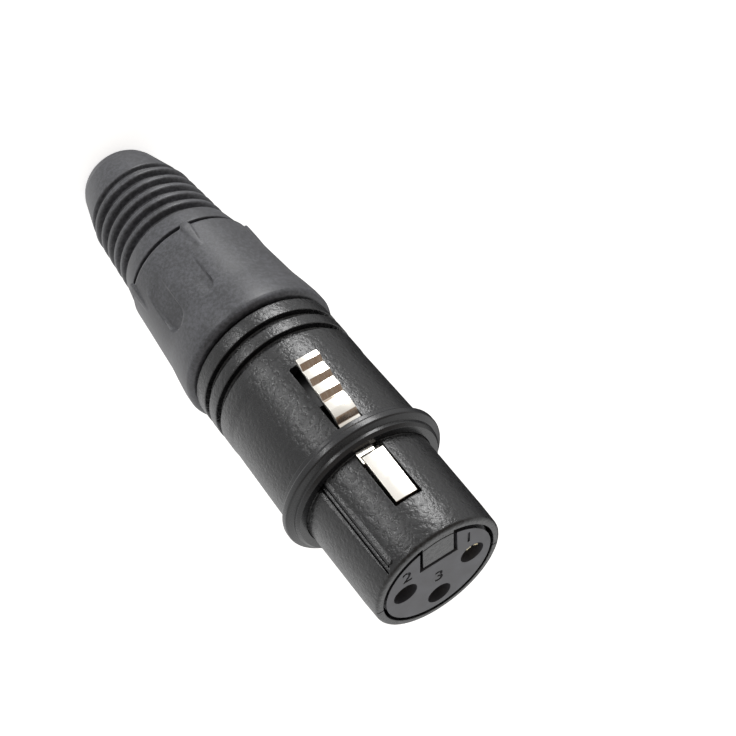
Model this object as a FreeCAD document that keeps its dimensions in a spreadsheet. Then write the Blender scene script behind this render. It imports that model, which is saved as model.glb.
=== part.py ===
import FreeCAD, Part
import math
import os
import re

import Sketcher
from FreeCAD import Placement, Rotation, Vector

# A female three-pole XLR plug for a cable end, standing on the end of its boot.
# +Z runs from the cable entry to the nose, the latch faces -Y, and contact 1 lies on -X.
# Heights are counted from the boot's end face, sizes are in millimetres.

doc = FreeCAD.newDocument("xlr_plug")
sizes = {
    # Whole plug and shell
    "overall_length": 71,
    "nose_radius": 8.0,
    "pilot_radius": 7.9,
    "pilot_length": 1.9,
    "pilot_taper": 0.65,
    "nose_bore_radius": 6.9,
    "nose_lead_length": 2.7,
    "nose_lead_drop": 0.1,
    "rim_rounding": 0.5,
    "shoulder_depth": 15.5,
    "bore_step_depth": 18,
    "body_radius": 9.2,
    "body_waist_radius": 9.0,
    "body_step": 0.1,
    "body_step_offset": 7.6,
    "rear_bore_radius": 7.75,
    "shell_rear_depth": 34.4,
    "rear_land_radius": 9.15,
    "rear_chamfer": 0.2,
    "groove_offset": 1.95,
    "groove_pitch": 2.45,
    "groove_width": 1.05,
    "groove_cut": 0.45,
    # Lever slot and window
    "slot_half_width": 1.8,
    "slot_rear_depth": 25.3,
    "window_half_width": 1.55,
    "window_front_depth": 5.1,
    "cut_floor": 5.4,
    # Keyway, counted from the latch
    "keyway_angle": 46,
    "keyway_width": 1.8,
    "keyway_cut": 0.28,
    "keyway_trough_width": 0.8,
    "keyway_trough_cut": 0.62,
    "keyway_front_depth": 0.55,
    "keyway_length": 13.4,
    # Key rib that fills the notch
    "key_half_width": 2.05,
    "key_floor": 2.65,
    "key_length": 1.8,
    "key_recess": 0.12,
    "key_root": 7.2,
    # Ring at the root of the nose
    "ring_seat_rise": 0.04,
    "ring_fit": 0.05,
    "ring_length": 2.8,
    "ring_heel_radius": 9.45,
    "ring_crest_radius": 10.05,
    "ring_step_radius": 9.3,
    "ring_crest_start": 0.95,
    "ring_crest_width": 0.8,
    "ring_slope": 0.35,
    # Insert and its notch
    "insert_gap": 0.25,
    "insert_recess": 0.05,
    "insert_flange_radius": 7.65,
    "insert_flange_length": 2.1,
    "insert_flange_gap": 0.05,
    "notch_floor": 2.4,
    "notch_floor_half_width": 2.35,
    "notch_mouth_half_width": 2.2,
    # Contacts
    "pitch_radius": 4.2,
    "socket_bore_radius": 1.22,
    "socket_radius": 1.68,
    "socket_fit": 0.04,
    "socket_depth": 2.15,
    "socket_bore_length": 11.4,
    "hole_radius": 1.45,
    "slit_width": 0.35,
    "slit_length": 8,
    "collar_radius": 2,
    "collar_length": 0.7,
    "cup_radius": 1.35,
    "cup_bore_radius": 1.0,
    "cup_length": 5.1,
    "cup_bore_length": 3.8,
    "cup_mouth_length": 2.6,
    # Hinge and lever
    "pivot_depth": 3.7,
    "pivot_radius": 5,
    "pin_radius": 0.6,
    "pin_length": 5.8,
    "pin_fit": 0.05,
    "eye_radius": 1.2,
    "lever_half_width": 1.3,
    "lever_thickness": 0.8,
    "peg_front_height": 7.45,
    "peg_rear_height": 8.5,
    "peg_front_gap": 0.3,
    "peg_length": 6.3,
    "strip_height": 7.55,
    "ring_clearance": 0.3,
    "tab_front_height": 10.15,
    "tab_rise": 0.58,
    "tab_pitch": 1.85,
    "tab_step_run": 0.55,
    "tab_front_land": 1.8,
    "tab_dip": 0.12,
    "tab_tail": 0.95,
    # Latch spring
    "spring_half_width": 1.1,
    "spring_thickness": 0.25,
    "spring_bend_depth": 8.6,
    "spring_foot": 7.6,
    "spring_reach": 6.2,
    "spring_seat": 0.04,
    # Ground leaf
    "leaf_angle": -45,
    "leaf_half_width": 1.1,
    "leaf_thickness": 0.22,
    "leaf_seat_radius": 6.2,
    "leaf_front_depth": 7.5,
    "leaf_clearance": 0.15,
    "leaf_tail": 1.3,
    # Bushing
    "thread_radius": 7.68,
    "thread_length": 6.8,
    "bushing_flange_radius": 8.65,
    "bushing_flange_length": 1.75,
    "bushing_radius": 7.45,
    "bushing_rear_share": 0.6243,
    "bushing_mouth_radius": 4.7,
    "seat_gap": 0.4,
    "core_fit": 0.05,
    # Chuck
    "chuck_radius": 6.3,
    "chuck_fit": 0.1,
    "chuck_front_gap": 0.1,
    "chuck_cavity_radius": 5.8,
    "chuck_cavity_depth": 8.3,
    "cone_top_share": 1.022,
    "jaw_end_share": 0.674,
    "jaw_end_radius": 4.9,
    "cable_radius": 3.2,
    "tooth_count": 4,
    "tooth_pitch": 1.4,
    "tooth_depth": 0.4,
    "jaw_slit": 1,
    "jaw_count": 4,
    # Grip
    "seam_share": 0.5525,
    "seam_gap": 0.55,
    "grip_seam_radius": 8.34,
    "grip_flare_share": 0.8343,
    "grip_flare_radius": 9.12,
    "grip_bell_share": 0.9116,
    "grip_bell_radius": 9.58,
    "grip_lip_radius": 9.8,
    "grip_lip_rounding": 0.8,
    "fin_count": 5,
    "fin_width": 1.5,
    "fin_tip_width": 0.5,
    "fin_length": 4.7,
    "fin_overhang": 0.62,
    "fin_height": 0.3,
    "fin_lift": 0.06,
    "recess_offset": 15.5,
    "recess_half_width": 1.6,
    "recess_front_share": 0.8536,
    "recess_length": 8.2,
    "recess_floor": 8.52,
    # Sleeve
    "end_radius": 4.5,
    "end_shoulder_radius": 5.32,
    "end_shoulder_height": 1.4,
    "band_radius": 6.55,
    "rib_start_radius": 6.88,
    "first_groove_share": 0.181,
    "rib_count": 6,
    "rib_pitch_share": 0.0528,
    "rib_groove_width_share": 0.0332,
    "rib_groove_floor_share": 0.0207,
    "rib_groove_cut": 0.85,
    "rib_top_radius": 7.5,
    "collar_edge_radius": 8.05,
    "sleeve_root_radius": 7.4,
    "sleeve_seat": 0.1,
    "sleeve_flare_share": 0.3591,
    "sleeve_mouth_radius": 4.9,
}

sheet = doc.addObject("Spreadsheet::Sheet", "Sizes")
for row, (alias, value) in enumerate(sizes.items(), start=1):
    sheet.set(f"A{row}", alias.replace("_", " "))
    sheet.set(f"B{row}", str(value))
    sheet.setAlias(f"B{row}", alias)
doc.recompute()

word = re.compile(r"[a-z_]+[a-z]")


def bound(text):
    """Puts the sheet's name before each alias of an expression."""
    return word.sub(lambda found: "Sizes." + found.group() if found.group() in sizes else found.group(), str(text))


def number(text):
    """The value of an expression, in millimetres or degrees."""
    result = sheet.evalExpression(bound(text))
    return float(getattr(result, "Value", result))


def new_body(node):
    body = doc.addObject("PartDesign::Body", node)
    body.Label = node
    return body


def origin_plane(body, role):
    return next(feature for feature in body.Origin.OriginFeatures if feature.Role == role)


def new_sketch(body, name, role, lift="0", turn="0"):
    """A sketch on an origin plane, lifted along its normal and turned about the part's axis."""
    sketch = body.newObject("Sketcher::SketchObject", name)
    sketch.AttachmentSupport = [(origin_plane(body, role), "")]
    sketch.MapMode = "FlatFace"
    angle = number(turn)
    reach = Rotation(Vector(0, 1, 0), angle).multVec(Vector(0, 0, number(lift)))
    sketch.AttachmentOffset = Placement(reach, Rotation(Vector(0, 1, 0), angle))
    across, along = math.sin(math.radians(angle)), math.cos(math.radians(angle))
    if lift != "0":
        sketch.setExpression("AttachmentOffset.Base.x", f"({bound(lift)}) * {across}")
        sketch.setExpression("AttachmentOffset.Base.z", f"({bound(lift)}) * {along}")
    return sketch


def tie(sketch, geometry, point, direction, text):
    """Holds one coordinate of a point at an expression of the sheet."""
    value = number(text)
    if abs(value) < 1e-9:
        axis = -2 if direction == "X" else -1
        sketch.addConstraint(Sketcher.Constraint("PointOnObject", geometry, point, axis))
        return
    index = sketch.addConstraint(Sketcher.Constraint("Distance" + direction, -1, 1, geometry, point, value))
    sketch.setExpression(f"Constraints[{index}]", bound(text))


def outline(sketch, corners):
    """A closed outline of straight edges, each corner tied to the sheet."""
    first = sketch.GeometryCount
    places = [Vector(number(x), number(y), 0) for x, y in corners]
    count = len(places)
    for index, place in enumerate(places):
        sketch.addGeometry(Part.LineSegment(place, places[(index + 1) % count]), False)
    for index, (x, y) in enumerate(corners):
        follower = first + (index + 1) % count
        sketch.addConstraint(Sketcher.Constraint("Coincident", first + index, 2, follower, 1))
        tie(sketch, first + index, 1, "X", x)
        tie(sketch, first + index, 1, "Y", y)


def circle(sketch, x, y, radius):
    """A circle whose centre and radius are tied to the sheet."""
    centre = Vector(number(x), number(y), 0)
    index = sketch.addGeometry(Part.Circle(centre, Vector(0, 0, 1), number(radius)), False)
    tie(sketch, index, 3, "X", x)
    tie(sketch, index, 3, "Y", y)
    limit = sketch.addConstraint(Sketcher.Constraint("Radius", index, number(radius)))
    sketch.setExpression(f"Constraints[{limit}]", bound(radius))


def feature(body, kind, name, profile):
    made = body.newObject("PartDesign::" + kind, name)
    made.Profile = profile
    profile.Visibility = False
    return made


def revolve(body, name, corners, kind="Revolution"):
    """Turns a half section, drawn in the XZ plane as radius and height, about the axis."""
    sketch = new_sketch(body, name + "_section", "XZ_Plane")
    outline(sketch, corners)
    made = feature(body, kind, name, sketch)
    made.ReferenceAxis = (sketch, ["V_Axis"])
    made.Angle = 360
    return made


def pad(body, name, sketch, length, middle=False):
    made = feature(body, "Pad", name, sketch)
    made.setExpression("Length", bound(length))
    made.Midplane = middle
    return made


def cut_through(body, name, sketch, outward=True):
    """Cuts all that lies on one side of the sketch."""
    made = feature(body, "Pocket", name, sketch)
    made.Type = "ThroughAll"
    made.Reversed = outward
    return made


def cut_down(body, name, sketch, length):
    """Cuts from the sketch against its normal."""
    made = feature(body, "Pocket", name, sketch)
    made.setExpression("Length", bound(length))
    return made


def round_edge(body, name, radius, height, rounding):
    """Rounds the circular edge that has this radius and height."""
    doc.recompute()
    base = body.Tip
    names = []
    for index, edge in enumerate(base.Shape.Edges):
        ring = edge.Curve
        if isinstance(ring, Part.Circle) and abs(ring.Radius - number(radius)) < 1e-4:
            if abs(ring.Center.z - number(height)) < 1e-4:
                names.append(f"Edge{index + 1}")
    made = body.newObject("PartDesign::Fillet", name)
    made.Base = (base, names)
    made.setExpression("Radius", bound(rounding))
    return made


def around(body, name, originals, count):
    """Repeats features round the axis."""
    doc.recompute()
    made = body.newObject("PartDesign::PolarPattern", name)
    made.Originals = originals
    made.Axis = (origin_plane(body, "Z_Axis"), [""])
    made.Angle = 360
    made.setExpression("Occurrences", bound(count))
    body.Tip = made
    return made


def above(depth):
    """The height of a place that is given by its depth behind the nose face."""
    return f"overall_length - ({depth})"


def part_of_boot(share):
    """A height or length that is given as a share of the boot's height."""
    return f"({share} * ({boot_top}))"


boot_top = above("shell_rear_depth + seat_gap")
seam = part_of_boot("seam_share")
jaw_end = part_of_boot("jaw_end_share")
cone_top = part_of_boot("cone_top_share")
bushing_rear = part_of_boot("bushing_rear_share")


# Shell: one die casting with the nose, the window, the lever slot and the key rib

def make_shell():
    body = new_body("shell")
    rear = above("shell_rear_depth")
    shoulder = above("shoulder_depth")
    step = f"{rear} + body_step_offset"
    pilot_end = above("nose_lead_length + pilot_length")
    corners = [
        ("rear_bore_radius", rear),
        ("rear_land_radius - rear_chamfer", rear),
        ("rear_land_radius", f"{rear} + rear_chamfer"),
    ]
    for low in (f"{rear} + groove_offset", f"{rear} + groove_offset + groove_pitch"):
        high = f"{low} + groove_width"
        corners += [
            ("rear_land_radius", low),
            ("rear_land_radius - groove_cut", low),
            ("rear_land_radius - groove_cut", high),
            ("rear_land_radius", high),
        ]
    corners[-1] = ("body_waist_radius + body_step", high)
    corners += [
        ("body_waist_radius + body_step", step),
        ("body_waist_radius", f"{step} + body_step"),
        ("body_radius", shoulder),
        ("nose_radius + ring_seat_rise", shoulder),
        ("nose_radius + ring_seat_rise", f"{shoulder} + ring_length"),
        ("nose_radius", f"{shoulder} + ring_length + 2 * ring_seat_rise"),
        ("nose_radius", f"{pilot_end} - pilot_taper"),
        ("pilot_radius", pilot_end),
        ("pilot_radius", above("nose_lead_length")),
        ("pilot_radius - nose_lead_drop", "overall_length"),
        ("nose_bore_radius", "overall_length"),
        ("nose_bore_radius", above("bore_step_depth")),
        ("rear_bore_radius", above("bore_step_depth")),
    ]
    revolve(body, "casting", corners)
    round_edge(body, "rim", "pilot_radius - nose_lead_drop", "overall_length", "rim_rounding")

    key = new_sketch(body, "key_plan", "XY_Plane", above("key_recess + key_length"))
    outline(key, [
        ("-key_half_width", "-key_root"),
        ("key_half_width", "-key_root"),
        ("key_half_width", "-key_floor"),
        ("-key_half_width", "-key_floor"),
    ])
    pad(body, "key_rib", key, "key_length")

    opening = new_sketch(body, "latch_opening", "XZ_Plane", "cut_floor")
    front_of_ring = above("shoulder_depth - ring_length / 2")
    outline(opening, [
        ("-slot_half_width", above("slot_rear_depth")),
        ("slot_half_width", above("slot_rear_depth")),
        ("slot_half_width", front_of_ring),
        ("window_half_width", front_of_ring),
        ("window_half_width", above("window_front_depth")),
        ("-window_half_width", above("window_front_depth")),
        ("-window_half_width", front_of_ring),
        ("-slot_half_width", front_of_ring),
    ])
    cut_through(body, "slot_and_window", opening)
    cut_keyway(body)
    return body


def cut_keyway(body):
    """Two steps of the keyway: a shallow field and a deep trough, both with a rounded front end."""
    front = above("keyway_front_depth")
    fields = (
        ("keyway_field", "keyway_cut", "-keyway_width / 2"),
        ("keyway_trough", "keyway_trough_cut", "keyway_width / 2 - keyway_trough_width"),
    )
    for name, depth, near in fields:
        sketch = new_sketch(body, name + "_plan", "XZ_Plane", f"nose_radius - {depth}", "keyway_angle")
        corner = f"(keyway_width / 2 - ({near})) / 3"
        outline(sketch, [
            (near, f"{front} - keyway_length"),
            ("keyway_width / 2", f"{front} - keyway_length"),
            ("keyway_width / 2", f"{front} - {corner}"),
            (f"keyway_width / 2 - {corner}", front),
            (f"{near} + {corner}", front),
            (near, f"{front} - {corner}"),
        ])
        cut_through(body, name, sketch)


# Ring at the root of the nose, turned section with a heel, a bead and a step

def make_ring():
    body = new_body("seal_ring")
    rear = above("shoulder_depth")
    bead = f"{rear} + ring_crest_start"
    inside = "nose_radius + ring_seat_rise + ring_fit"
    revolve(body, "ring", [
        (inside, rear),
        ("ring_heel_radius", rear),
        ("ring_heel_radius", f"{bead} - ring_slope"),
        ("ring_crest_radius", bead),
        ("ring_crest_radius", f"{bead} + ring_crest_width"),
        ("ring_step_radius", f"{bead} + ring_crest_width + ring_slope"),
        ("ring_step_radius", f"{rear} + ring_length - ring_slope"),
        ("ring_step_radius - ring_slope", f"{rear} + ring_length"),
        (inside, f"{rear} + ring_length"),
    ])
    return body


# Insert: moulded carrier with the notch, the contact holes and the seats of pin and leaf

contact_places = {
    "contact_1": ("-pitch_radius", "0"),
    "contact_2": ("pitch_radius", "0"),
    "contact_3": ("0", "pitch_radius"),
}


def make_insert():
    body = new_body("insert")
    face = above("insert_recess")
    flange_top = above("bore_step_depth + insert_flange_gap")
    flange_rear = f"{flange_top} - insert_flange_length"
    radius = "nose_bore_radius - insert_gap"
    revolve(body, "carrier", [
        ("0", flange_rear),
        ("insert_flange_radius", flange_rear),
        ("insert_flange_radius", flange_top),
        (radius, flange_top),
        (radius, face),
        ("0", face),
    ])
    notch = new_sketch(body, "notch_plan", "XY_Plane", face)
    outline(notch, [
        ("-notch_floor_half_width", "-notch_floor"),
        ("notch_floor_half_width", "-notch_floor"),
        ("notch_mouth_half_width", "-insert_flange_radius - 1"),
        ("-notch_mouth_half_width", "-insert_flange_radius - 1"),
    ])
    cut_through(body, "notch", notch, outward=False)

    bores = new_sketch(body, "bores_plan", "XY_Plane", above("socket_depth"))
    holes = new_sketch(body, "holes_plan", "XY_Plane", face)
    for x, y in contact_places.values():
        circle(bores, x, y, "socket_radius + socket_fit")
        circle(holes, x, y, "hole_radius")
    cut_through(body, "bores", bores, outward=False)
    cut_through(body, "holes", holes, outward=False)

    pin = new_sketch(body, "pin_plan", "YZ_Plane", "-pin_length / 2")
    pin.AttachmentOffset = Placement(Vector(0, 0, number("-pin_length / 2")), Rotation())
    circle(pin, "-pivot_radius", above("pivot_depth"), "pin_radius")
    hole = feature(body, "Pocket", "pin_hole", pin)
    hole.setExpression("Length", bound("pin_length"))
    hole.Reversed = True

    flat = new_sketch(body, "leaf_seat_plan", "XY_Plane", above("leaf_front_depth - 1"))
    outline(flat, [
        ("-leaf_half_width - 0.1", "leaf_seat_radius"),
        ("leaf_half_width + 0.1", "leaf_seat_radius"),
        ("leaf_half_width + 0.1", "insert_flange_radius + 1"),
        ("-leaf_half_width - 0.1", "insert_flange_radius + 1"),
    ])
    turn = Rotation(Vector(0, 0, 1), number("leaf_angle"))
    flat.AttachmentOffset = Placement(flat.AttachmentOffset.Base, turn)
    cut_through(body, "leaf_seat", flat, outward=False)
    return body


# Contacts: turned sockets with two slits, a collar and a solder cup open on its outer side

def make_contact(node, x, y):
    body = new_body(node)
    mouth = above("socket_depth")
    collar_top = above("bore_step_depth + insert_flange_gap + insert_flange_length")
    cup_top = f"{collar_top} - collar_length"
    cup_rear = f"{cup_top} - cup_length"
    revolve(body, "turned", [
        ("0", cup_rear),
        ("cup_radius", cup_rear),
        ("cup_radius", cup_top),
        ("collar_radius", cup_top),
        ("collar_radius", collar_top),
        ("socket_radius", collar_top),
        ("socket_radius", mouth),
        ("0", mouth),
    ])
    bore = new_sketch(body, "bore_plan", "XY_Plane", mouth)
    circle(bore, "0", "0", "socket_bore_radius")
    cut_down(body, "bore", bore, "socket_bore_length")
    slit = new_sketch(body, "slit_plan", "XZ_Plane")
    outline(slit, [
        ("-slit_width / 2", f"{mouth} - slit_length"),
        ("slit_width / 2", f"{mouth} - slit_length"),
        ("slit_width / 2", f"{mouth} + 1"),
        ("-slit_width / 2", f"{mouth} + 1"),
    ])
    slits = feature(body, "Pocket", "slits", slit)
    slits.setExpression("Length", bound("2 * socket_radius + 1"))
    slits.Midplane = True
    cup = new_sketch(body, "cup_plan", "XY_Plane", cup_rear)
    circle(cup, "0", "0", "cup_bore_radius")
    hollow = feature(body, "Pocket", "cup", cup)
    hollow.setExpression("Length", bound("cup_bore_length"))
    hollow.Reversed = True
    mouth_cut = new_sketch(body, "cup_mouth_plan", "XZ_Plane")
    outline(mouth_cut, [
        ("-cup_radius - 1", f"{cup_rear} - 1"),
        ("cup_radius + 1", f"{cup_rear} - 1"),
        ("cup_radius + 1", f"{cup_rear} + cup_mouth_length"),
        ("-cup_radius - 1", f"{cup_rear} + cup_mouth_length"),
    ])
    cut_through(body, "cup_mouth", mouth_cut, outward=False)
    body.setExpression("Placement.Base.x", bound(x))
    body.setExpression("Placement.Base.y", bound(y))
    return body


# Latch lever: one bent strip with an eye at its front end, a locking peg and a stepped thumb tab

def make_lever():
    body = new_body("latch_lever")
    pivot = above("pivot_depth")
    peg_front = above("window_front_depth + peg_front_gap")
    peg_rear = f"{peg_front} - peg_length"
    ring_rear = above("shoulder_depth")
    bend = f"{ring_rear} - ring_clearance"
    sheet_side = "lever_thickness"
    top = [
        (pivot + " + eye_radius / 2", "pivot_radius + eye_radius"),
        (f"{peg_front} + 0.1", "pivot_radius + eye_radius + 0.2"),
        (peg_front, "peg_front_height"),
        (peg_rear, "peg_rear_height"),
        (f"{peg_rear} - 0.15", "strip_height"),
        (f"{bend} - 0.1", "strip_height"),
        (f"{bend} - 0.45", "tab_front_height - 0.75"),
        (f"{bend} - 0.9", "tab_front_height - 0.12"),
        (f"{bend} - 1.3", "tab_front_height"),
    ]
    step_foot = f"{bend} - 1.3 - tab_front_land"
    for step in range(3):
        height = f"tab_front_height + {step} * tab_rise"
        top += [
            (f"{step_foot} - {step} * tab_pitch + 0.3", f"{height} - tab_dip * {min(step, 1)}"),
            (f"{step_foot} - {step} * tab_pitch", f"{height} - tab_dip"),
            (f"{step_foot} - {step} * tab_pitch - tab_step_run", f"{height} + tab_rise"),
        ]
    tail = f"{step_foot} - 2 * tab_pitch - tab_step_run - tab_tail"
    top += [
        (f"{tail} + 0.2", "tab_front_height + 3 * tab_rise"),
        (tail, "tab_front_height + 3 * tab_rise - 0.2"),
    ]
    under = [
        (tail, "tab_front_height + 3 * tab_rise - lever_thickness"),
        (f"{step_foot} + 0.3", f"tab_front_height - {sheet_side}"),
        (f"{bend} - 1.5", f"tab_front_height - {sheet_side}"),
        (f"{bend} - 1.1", f"strip_height - {sheet_side} + 0.3"),
        (f"{bend} - 0.7", f"strip_height - {sheet_side}"),
        (f"{peg_rear} + 0.4", f"strip_height - {sheet_side}"),
        (f"{peg_front} - 1.6", f"peg_front_height - {sheet_side} - 0.25"),
        (f"{pivot} - eye_radius", "pivot_radius"),
        (f"{pivot} - eye_radius * 0.7", "pivot_radius - eye_radius * 0.7"),
        (pivot, "pivot_radius - eye_radius"),
        (f"{pivot} + eye_radius * 0.7", "pivot_radius - eye_radius * 0.7"),
        (f"{pivot} + eye_radius", "pivot_radius"),
        (f"{pivot} + eye_radius", "pivot_radius + eye_radius / 2"),
    ]
    side = new_sketch(body, "side", "YZ_Plane")
    outline(side, [(f"-({height})", place) for place, height in top + under])
    pad(body, "strip", side, "2 * lever_half_width", middle=True)
    eye = new_sketch(body, "eye_plan", "YZ_Plane")
    circle(eye, "-pivot_radius", pivot, "pin_radius + pin_fit")
    hole = feature(body, "Pocket", "eye", eye)
    hole.setExpression("Length", bound("2 * lever_half_width + 1"))
    hole.Midplane = True
    return body


def make_pin():
    pin = doc.addObject("Part::Cylinder", "latch_pin")
    pin.Label = "latch_pin"
    pin.setExpression("Radius", bound("pin_radius"))
    pin.setExpression("Height", bound("pin_length"))
    pin.Placement = Placement(Vector(), Rotation(Vector(0, 1, 0), 90))
    pin.setExpression("Placement.Base.x", bound("-pin_length / 2"))
    pin.setExpression("Placement.Base.y", bound("-pivot_radius"))
    pin.setExpression("Placement.Base.z", bound(above("pivot_depth")))
    return pin


def make_spring():
    """Latch spring: a bent leaf with its foot on the notch's floor and its arm under the lever."""
    body = new_body("latch_spring")
    bend = above("spring_bend_depth")
    foot = "notch_floor + spring_seat"
    crest = "strip_height - lever_thickness - spring_seat"
    thick = "spring_thickness"
    side_points = [
        (f"{bend} - spring_foot", foot),
        (f"{bend} - 0.5", foot),
        (bend, f"{foot} + 0.45"),
        (f"{bend} - 0.35", f"{foot} + 0.85"),
        (f"{bend} - spring_reach + 0.4", crest),
        (f"{bend} - spring_reach", crest),
        (f"{bend} - spring_reach - 0.5", f"{crest} - 0.6"),
        (f"{bend} - spring_reach - 0.2", f"{crest} - 0.6"),
        (f"{bend} - spring_reach + 0.1", f"{crest} - {thick}"),
        (f"{bend} - spring_reach + 0.3", f"{crest} - {thick}"),
        (f"{bend} - 0.55", f"{foot} + 0.7"),
        (f"{bend} - {thick}", f"{foot} + 0.45"),
        (f"{bend} - 0.6", f"{foot} + {thick}"),
        (f"{bend} - spring_foot", f"{foot} + {thick}"),
    ]
    side = new_sketch(body, "side", "YZ_Plane")
    outline(side, [(f"-({height})", place) for place, height in side_points])
    pad(body, "leaf", side, "2 * spring_half_width", middle=True)
    return body


def make_leaf():
    """Ground leaf: rests on its flat at both ends, bows out to the nose bore, tail bent in."""
    body = new_body("ground_spring")
    front = above("leaf_front_depth")
    rear = above("bore_step_depth + insert_flange_gap + insert_flange_length")
    seat = "leaf_seat_radius + 0.02"
    crest = "nose_bore_radius - leaf_clearance"
    middle = f"({front} + {rear}) / 2"
    outer = [
        (crest, f"{middle} + 1.5"),
        (crest, f"{middle} - 0.5"),
        (f"{seat} + leaf_thickness", f"{middle} - 3"),
        (f"{seat} + leaf_thickness", f"{rear} - 0.05 - leaf_thickness"),
        (f"{seat} - leaf_tail", f"{rear} - 0.05 - leaf_thickness"),
    ]
    inner = [
        (f"{seat} - leaf_tail", f"{rear} - 0.05"),
        (seat, f"{rear} - 0.05"),
        (seat, f"{middle} - 2.9"),
        (f"{crest} - leaf_thickness", f"{middle} - 0.4"),
        (f"{crest} - leaf_thickness", f"{middle} + 1.4"),
        (seat, f"{front} - 0.1"),
    ]
    side = new_sketch(body, "side", "YZ_Plane")
    outline(side, [(f"{seat} + leaf_thickness", front)] + outer + inner)
    pad(body, "leaf", side, "2 * leaf_half_width", middle=True)
    body.Placement = Placement(Vector(), Rotation(Vector(0, 0, 1), number("leaf_angle")))
    return body


# Chuck: round tube about the solder cups with slotted, ridged jaws on a cone behind it

chuck_front = above(
    "bore_step_depth + insert_flange_gap + insert_flange_length + collar_length + chuck_front_gap"
)


def make_chuck():
    body = new_body("chuck")
    cavity = f"{chuck_front} - chuck_cavity_depth"
    corners = [
        ("jaw_end_radius", jaw_end),
        ("chuck_radius", cone_top),
        ("chuck_radius", chuck_front),
        ("chuck_cavity_radius", chuck_front),
        ("chuck_cavity_radius", cavity),
        ("cable_radius + tooth_depth", f"{cavity} - 1.5"),
    ]
    for tooth in reversed(range(int(number("tooth_count")))):
        foot = f"{jaw_end} + {tooth} * tooth_pitch + 0.3"
        corners += [
            ("cable_radius + tooth_depth", f"{foot} + tooth_pitch * 0.9"),
            ("cable_radius", f"{foot} + tooth_pitch / 2"),
            ("cable_radius + tooth_depth", f"{foot} + tooth_pitch * 0.1"),
        ]
    corners.append(("cable_radius + tooth_depth", jaw_end))
    revolve(body, "turned", corners)
    slit = new_sketch(body, "slit_plan", "XZ_Plane")
    outline(slit, [
        ("-jaw_slit / 2", f"{jaw_end} - 1"),
        ("jaw_slit / 2", f"{jaw_end} - 1"),
        ("jaw_slit / 2", cone_top),
        ("-jaw_slit / 2", cone_top),
    ])
    first = cut_through(body, "slit", slit)
    around(body, "slits", [first], "jaw_count")
    return body


# Bushing: threaded core of the boot with a cone that closes the jaws

def make_bushing():
    body = new_body("bushing")
    flange_rear = f"{boot_top} - bushing_flange_length"
    thread_end = f"{boot_top} + thread_length"
    cone_slope = f"(chuck_radius - jaw_end_radius) / ({cone_top} - {jaw_end})"
    revolve(body, "core", [
        ("bushing_mouth_radius", bushing_rear),
        ("bushing_radius", bushing_rear),
        ("bushing_radius", flange_rear),
        ("bushing_flange_radius", flange_rear),
        ("bushing_flange_radius", boot_top),
        ("thread_radius", boot_top),
        ("thread_radius", f"{thread_end} - 0.4"),
        ("thread_radius - 0.4", thread_end),
        ("chuck_radius + chuck_fit", thread_end),
        ("chuck_radius + chuck_fit", cone_top),
        (f"jaw_end_radius + chuck_fit - {cone_slope} * 0.5", f"{jaw_end} - 0.5"),
        ("bushing_mouth_radius", f"{jaw_end} - 0.5"),
    ])
    return body


# Grip: flared rubber skin with fins over the seam and shallow finger recesses

finger_fields = (-36, 108, 180)


def make_grip():
    body = new_body("boot_grip")
    inside = "bushing_radius + core_fit"
    ledge = f"{boot_top} - bushing_flange_length - core_fit"
    revolve(body, "skin", [
        (inside, seam),
        ("grip_seam_radius", seam),
        ("grip_flare_radius", part_of_boot("grip_flare_share")),
        ("grip_bell_radius", part_of_boot("grip_bell_share")),
        ("grip_lip_radius", f"{boot_top} - 1.25 * grip_lip_rounding"),
        ("grip_lip_radius", boot_top),
        ("bushing_flange_radius + core_fit", boot_top),
        ("bushing_flange_radius + core_fit", ledge),
        (inside, ledge),
    ])
    round_edge(body, "lip", "grip_lip_radius", boot_top, "grip_lip_rounding")

    fin = new_sketch(body, "fin_plan", "XZ_Plane", "collar_edge_radius + fin_lift")
    outline(fin, [
        ("-fin_width / 2", seam),
        ("-fin_width / 2 + 0.25", f"{seam} - fin_overhang"),
        ("fin_width / 2 - 0.25", f"{seam} - fin_overhang"),
        ("fin_width / 2", seam),
        ("fin_tip_width / 2", f"{seam} - fin_overhang + fin_length"),
        ("-fin_tip_width / 2", f"{seam} - fin_overhang + fin_length"),
    ])
    first = pad(body, "fin", fin, "grip_seam_radius + fin_height - collar_edge_radius - fin_lift")
    around(body, "fins", [first], "fin_count")

    for field in finger_fields:
        for side in (-1, 1):
            cut_recess(body, field, side)
    return body


def cut_recess(body, field, side):
    """A flat-floored recess that is open towards the ribs and round towards the lip."""
    name = f"recess_{field % 360}_{'left' if side < 0 else 'right'}"
    turn = f"{-field} + {side} * recess_offset"
    sketch = new_sketch(body, name + "_plan", "XZ_Plane", "recess_floor", turn)
    front = part_of_boot("recess_front_share")
    corners = [
        ("recess_half_width", f"{front} - recess_length"),
    ]
    for step in range(7):
        angle = math.pi * step / 6
        corners.append((
            f"recess_half_width * {math.cos(angle):.6f}",
            f"{front} - recess_half_width + recess_half_width * {math.sin(angle):.6f}",
        ))
    corners.append(("-recess_half_width", f"{front} - recess_length"))
    outline(sketch, corners)
    cut_through(body, name, sketch)


# Sleeve: ribbed strain relief, rounded at the cable end

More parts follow.
